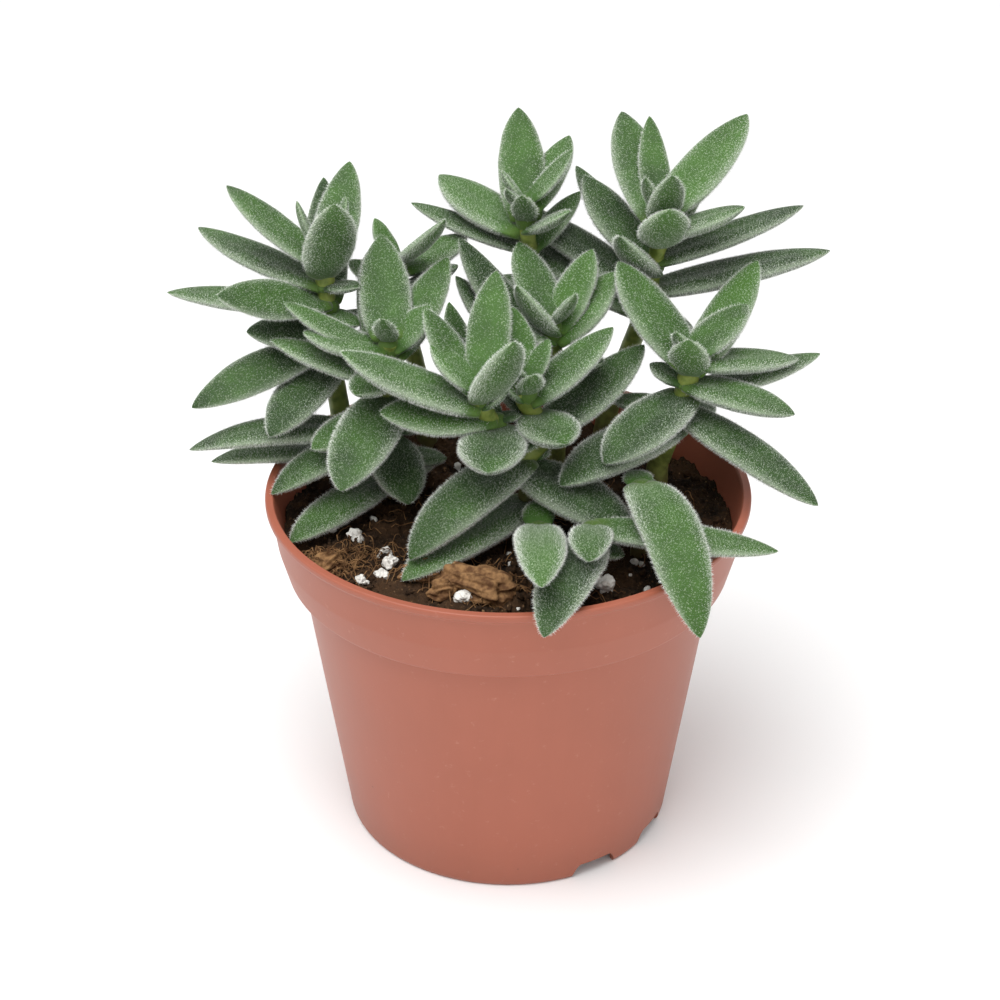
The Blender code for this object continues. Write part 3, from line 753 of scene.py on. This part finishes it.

# Stems are smooth and waxy, yellow-green, browner near the soil.
bark = Look("stem skin", Roughness=0.5, Specular_IOR_Level=0.4, Subsurface_Weight=0.1,
            Subsurface_Scale=0.001)
where = bark.place()
high = bark.node("ShaderNodeSeparateXYZ", None, where, out=2)
mottle = bark.noise(420, 4, 0.6, where)
colour = mottle.between(0.35, 0.65).blend((0.10, 0.14, 0.022), (0.22, 0.27, 0.06))
woody = (1.0 - (high + mottle * 0.012).between(0.068, 0.082))
colour = (woody * 0.8).blend(colour, (0.10, 0.065, 0.03))
bark.set("Base Color", colour)
bark.bump(mottle + bark.noise(1800, 2, 0.5, where) * 0.4, 0.4, 0.0003)

# Geometry Nodes tree that stands hairs on a leaf surface: most and longest at the
# margins, none on the bare foot of a leaf.
lean_range = 0.22                    # how far a hair leans off the surface's normal
shortest, longest = 0.55, 1.15       # share of the hair length, at random
tree = bpy.data.node_groups.new("leaf hair", "GeometryNodeTree")
face = tree.interface
face.new_socket("Geometry", in_out="INPUT", socket_type="NodeSocketGeometry")
density_in = face.new_socket("Hairs per square metre", in_out="INPUT", socket_type="NodeSocketFloat")
length_in = face.new_socket("Hair length", in_out="INPUT", socket_type="NodeSocketFloat")
radius_in = face.new_socket("Hair radius", in_out="INPUT", socket_type="NodeSocketFloat")
look_in = face.new_socket("Hair material", in_out="INPUT", socket_type="NodeSocketMaterial")
face.new_socket("Geometry", in_out="OUTPUT", socket_type="NodeSocketGeometry")
start, end = tree.nodes.new("NodeGroupInput"), tree.nodes.new("NodeGroupOutput")


def gn(kind, settings=None, **inputs):
    """A geometry node whose inputs are set by socket identifier, value or link."""
    node = tree.nodes.new(kind)
    for key, value in (settings or {}).items():
        setattr(node, key, value)
    for key, value in inputs.items():
        socket = next(s for s in node.inputs if s.identifier in (key, key.replace("_", " ")))
        if isinstance(value, bpy.types.NodeSocket):
            tree.links.new(value, socket)
        else:
            socket.default_value = value
    return node


def gn_math(operation, *values):
    node = gn("ShaderNodeMath", {"operation": operation})
    for socket, value in zip(node.inputs, values):
        if isinstance(value, bpy.types.NodeSocket):
            tree.links.new(value, socket)
        else:
            socket.default_value = value
    return node.outputs[0]


def gn_attribute(name):
    return gn("GeometryNodeInputNamedAttribute", {"data_type": "FLOAT"}, Name=name).outputs[0]


crowd = gn_math("MULTIPLY_ADD", gn_attribute("margin"), 0.9, 0.9)
crowd = gn_math("MULTIPLY", crowd, gn_attribute("hairy"))
points = gn("GeometryNodeDistributePointsOnFaces", {"distribute_method": "RANDOM"},
            Mesh=start.outputs["Geometry"], Seed=5,
            Density=gn_math("MULTIPLY", crowd, start.outputs["Hairs per square metre"]))
lean = gn("FunctionNodeRandomValue", {"data_type": "FLOAT_VECTOR"}, Min=(-lean_range,) * 3,
          Max=(lean_range,) * 3, Seed=8)
aim = gn("ShaderNodeVectorMath", {"operation": "ADD"}, Vector=points.outputs["Normal"],
         Vector_001=lean.outputs[0])
turn = gn("FunctionNodeAlignRotationToVector", {"axis": "Z"}, Vector=aim.outputs[0])
spike = gn("GeometryNodeMeshCone", {"fill_type": "NONE"}, Vertices=3, Side_Segments=1,
           Fill_Segments=1, Radius_Top=0.0, Radius_Bottom=start.outputs["Hair radius"],
           Depth=start.outputs["Hair length"])
size = gn("FunctionNodeRandomValue", {"data_type": "FLOAT"}, Min_001=shortest, Max_001=longest,
          Seed=3)
height = gn_math("MULTIPLY_ADD", gn_attribute("margin"), 0.65, 0.55)
height = gn_math("MULTIPLY", height, size.outputs[1])
stand = gn("GeometryNodeInstanceOnPoints", None, Points=points.outputs["Points"],
           Instance=spike.outputs["Mesh"], Rotation=turn.outputs[0], Scale=height)
real = gn("GeometryNodeRealizeInstances", None, Geometry=stand.outputs[0])
dyed = gn("GeometryNodeSetMaterial", None, Geometry=real.outputs[0],
          Material=start.outputs["Hair material"])
tree.links.new(dyed.outputs[0], end.inputs[0])

# Each shoot's stem, its leaves and the hair on them. A fork has its own foliage,
# and its stem belongs to the shoot that it leaves.
hairs_per_m2, hair_length, hair_radius = 9.5e6, 0.50, 0.027
stem_steps, node_swell, swell_reach = 40, 0.35, 1.6
random.seed(4)
for name, shoot in SHOOTS.items():
    branches = {name: shoot}
    branches.update({name + "_fork": fork for fork in shoot.get("forks", ())})
    curve = bpy.data.curves.new("stem", "CURVE")
    curve.dimensions = "3D"
    curve.bevel_depth = MM
    curve.bevel_resolution = 4
    curve.use_fill_caps = True
    for label, branch in branches.items():
        low, high = branch["stem"][0][2], branch["stem"][-1][2]
        spline = curve.splines.new("POLY")
        spline.points.add(stem_steps)
        for k, point in enumerate(spline.points):
            z = low + (high - low) * k / stem_steps
            at = stem_point(branch["stem"], z)
            base, top = branch["radius"]
            swell = sum(node_swell * math.exp(-((z - node[0]) / swell_reach) ** 2)
                        for node in branch["nodes"])
            point.co = (*(at * MM), 1.0)
            uneven = 0.12 * noise.noise(Vector((z * 0.5, low, 1)))
            point.radius = base + (top - base) * k / stem_steps + swell + uneven
        leaves = leaf_mesh(branch)
        nodes = [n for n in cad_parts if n.startswith(label + "_leaves_")
                 or n == label + "_tip"]
        add_piece(label + "_foliage", leaves, flesh, "leaf", *nodes)
        hair = working("hair", leaves.copy())
        grow = hair.modifiers.new("Hair", "NODES")
        grow.node_group = tree
        grow[density_in.identifier] = hairs_per_m2
        grow[length_in.identifier] = hair_length * MM
        grow[radius_in.identifier] = hair_radius * MM
        grow[look_in.identifier] = down.material
        add_piece(label + "_hair", inside_box(as_mesh(hair)), down, "leaf")
    mesh = as_mesh(working("stem", curve))
    mesh.transform(Matrix.Translation(POT_AXIS))
    add_piece(name + "_stem", mesh, bark, "stem", "stem_" + name)

# ---- surroundings --------------------------------------------------------------
# A pale sweep to stand on, one large soft light over the front left, a weaker
# one at the right, and an even white room.
bm = bmesh.new()
bmesh.ops.create_grid(bm, x_segments=2, y_segments=2, size=6.0)
mesh = to_mesh(bm, "floor")
floor = bpy.data.objects.new("floor", mesh)
scene.collection.objects.link(floor)
paper = Look("white paper", Roughness=0.9, Specular_IOR_Level=0.1)
paper.set("Base Color", paper.noise(3, 2).blend((0.93, 0.93, 0.93), (0.95, 0.95, 0.95)))
mesh.materials.append(paper.material)
floor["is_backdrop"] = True

world = bpy.data.worlds.new("white room")
world.use_nodes = True
room = world.node_tree.nodes["Background"].inputs
room["Color"].default_value = (1.0, 1.0, 1.0, 1.0)
room["Strength"].default_value = 0.64
scene.world = world
for name, power, size, place in (("key", 9.0, 0.80, (-0.16, -0.20, 0.90)),
                                 ("fill", 1.2, 0.6, (0.3, -0.8, 0.35))):
    lamp = bpy.data.lights.new(name, "AREA")
    lamp.energy, lamp.size = power, size
    light = bpy.data.objects.new(name, lamp)
    light.location = place
    towards_rim = Vector((0, 0, 0.07)) - Vector(place)
    light.rotation_euler = towards_rim.to_track_quat("-Z", "Y").to_euler()
    scene.collection.objects.link(light)

# ---- camera ----------------------------------------------------------------------
# A long lens, looking down at the rim's height from the front.
aim = Vector((-1.53, 0.0, 66.2)) * MM + POT_AXIS
elevation, distance = math.radians(30.17), 0.4764
back = Vector((0.0, -math.cos(elevation), math.sin(elevation)))
lens = bpy.data.cameras.new("camera")
lens.lens, lens.sensor_width = 92.35, 36.0
lens.clip_start, lens.clip_end = 0.05, 20.0
camera = bpy.data.objects.new("camera", lens)
camera.location = aim + back * distance
camera.rotation_mode = "QUATERNION"
camera.rotation_quaternion = (-back).to_track_quat("-Z", "Y")
scene.collection.objects.link(camera)
scene.camera = camera

low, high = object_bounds()
